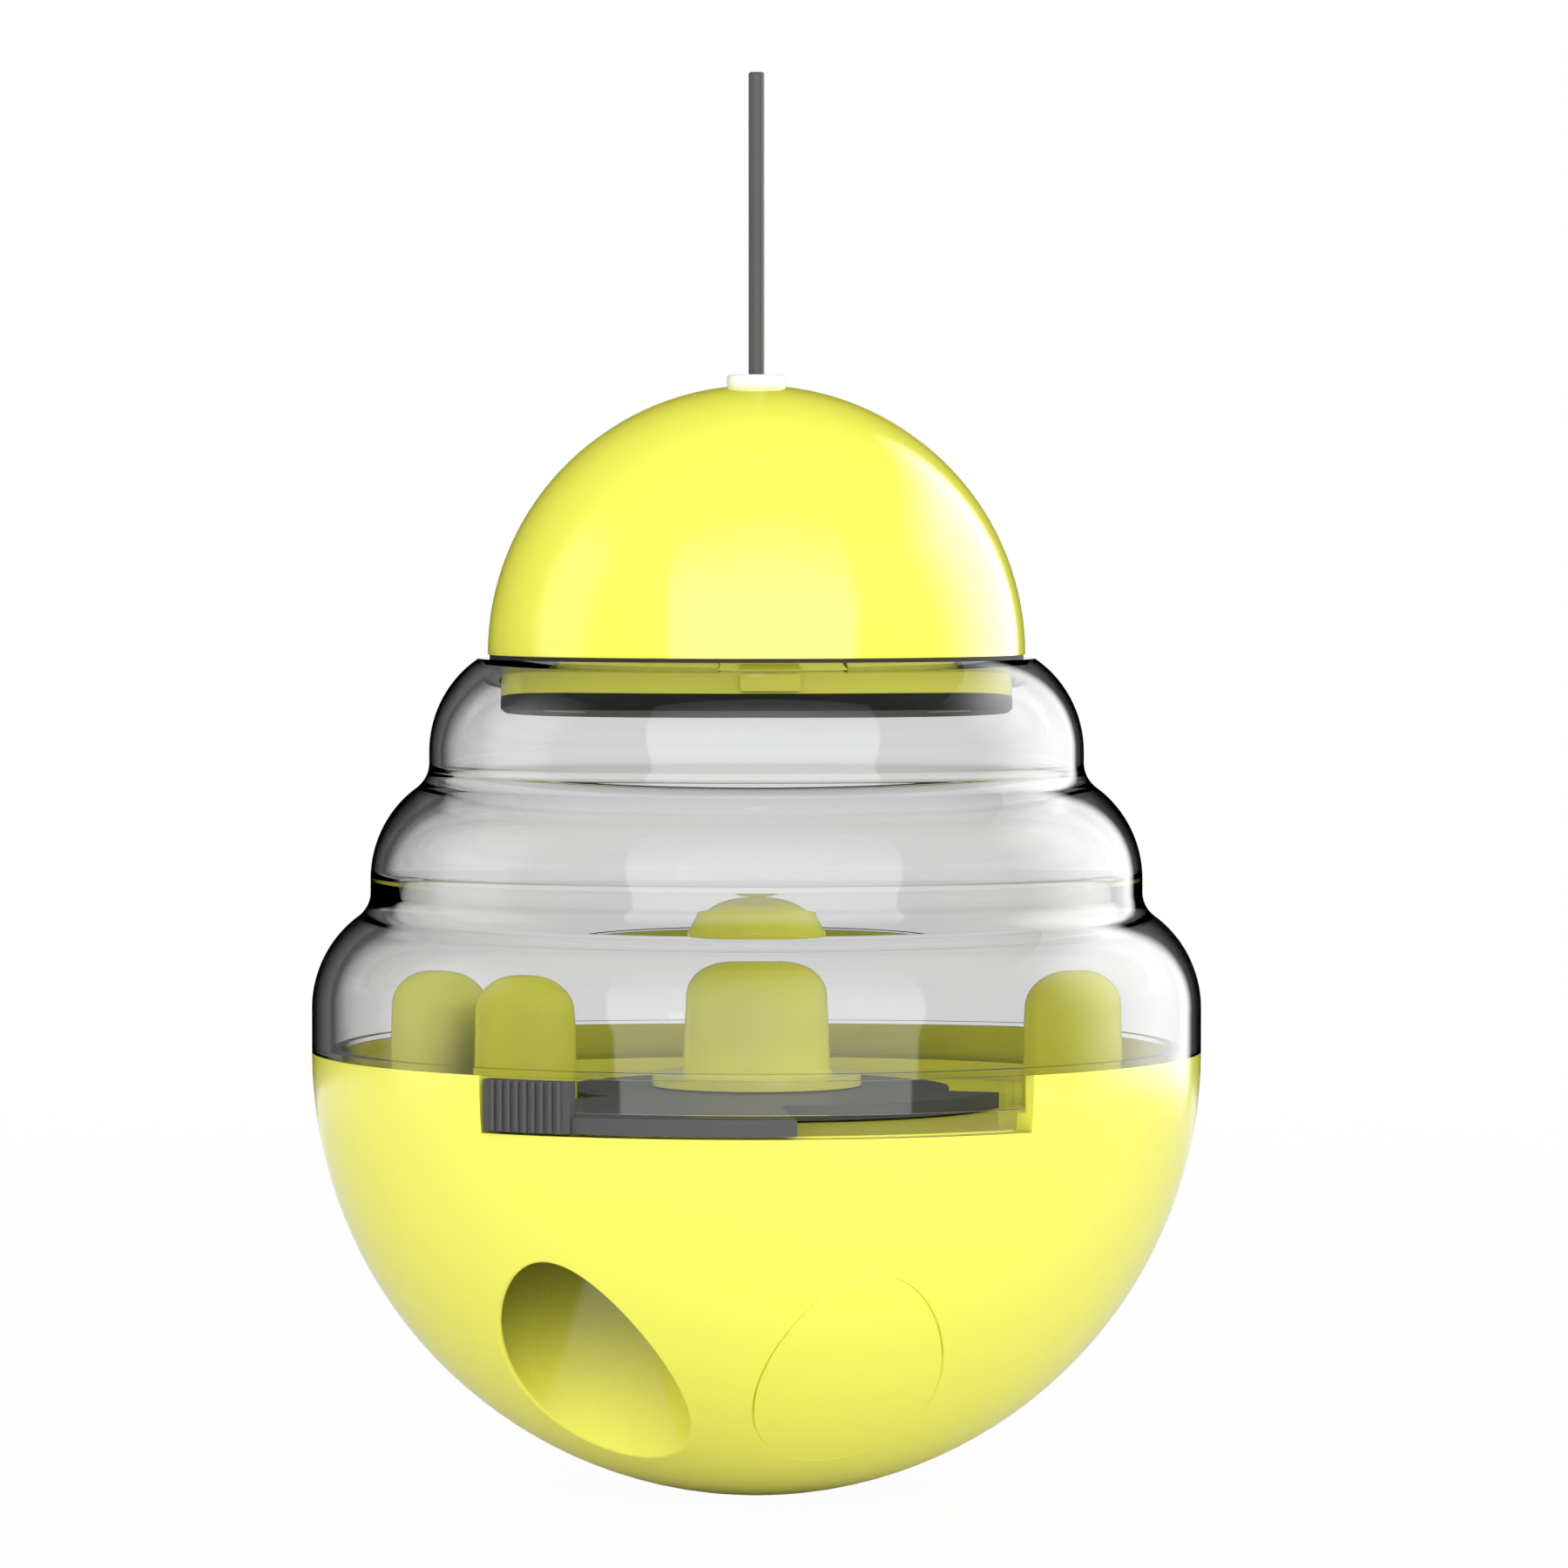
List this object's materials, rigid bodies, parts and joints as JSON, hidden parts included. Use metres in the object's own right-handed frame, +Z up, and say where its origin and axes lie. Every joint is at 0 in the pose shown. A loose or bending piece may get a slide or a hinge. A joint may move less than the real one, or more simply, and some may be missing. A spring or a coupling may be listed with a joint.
{
  "type": "cat treat dispenser toy",
  "caption": "Weighted egg-shaped tumbler with a stepped clear treat chamber, lift-off dome cap with an upright rod, and a turning gate over a chute in the round bowl.",
  "frame": {"origin": "centre of the small flat under the bowl, on the floor", "axes": "+Z up along the toy's axis to the rod, -Y to the front with the thumb tab and outlet, +X to the right"},
  "size_m": [0.09, 0.09, 0.1435],
  "materials": {
    "yellow_shell": "glossy",
    "clear_plastic": "clear",
    "grey_plastic": "satin",
    "black_plastic": "satin",
    "seal_rubber": "matte",
    "white_plastic": "satin",
    "rod_steel": "satin",
    "weight_steel": "plain",
    "screw_steel": "zinc plated"
  },
  "bodies": {
    "base": {"lower_bowl": "yellow_shell", "outlet_blank": "yellow_shell", "feed_tray": "yellow_shell", "center_peg": "yellow_shell", "tray_screws": "screw_steel", "hub_screw": "screw_steel", "counterweight": "weight_steel", "weight_clamp": "grey_plastic", "clamp_screw": "screw_steel"},
    "gate": {"gate_slider": "grey_plastic"},
    "cover": {"clear_cover": "clear_plastic"},
    "seal": {"cap_seal": "seal_rubber"},
    "cap": {"dome_cap": "yellow_shell", "cap_neck": "yellow_shell", "cap_base": "black_plastic", "cap_screws": "screw_steel", "rod_socket": "white_plastic", "socket_clip": "screw_steel", "teaser_rod": "rod_steel"}
  },
  "joints": [
    {"name": "gate_turn", "type": "hinge", "parent": "base", "child": "gate", "pos_m": [0, 0, 0.03942], "axis": [0, 0, 1], "range_deg": [0, 31]},
    {"name": "cover_lift", "type": "slide", "parent": "base", "child": "cover", "axis": [0, 0, 1], "range_m": [0, 0.06]},
    {"name": "cap_lift", "type": "slide", "parent": "cover", "child": "seal", "axis": [0, 0, 1], "range_m": [0, 0.05]},
    {"name": "cap_twist", "type": "hinge", "parent": "seal", "child": "cap", "pos_m": [0, 0, 0.08442], "axis": [0, 0, 1], "range_deg": [0, 35]}
  ]
}
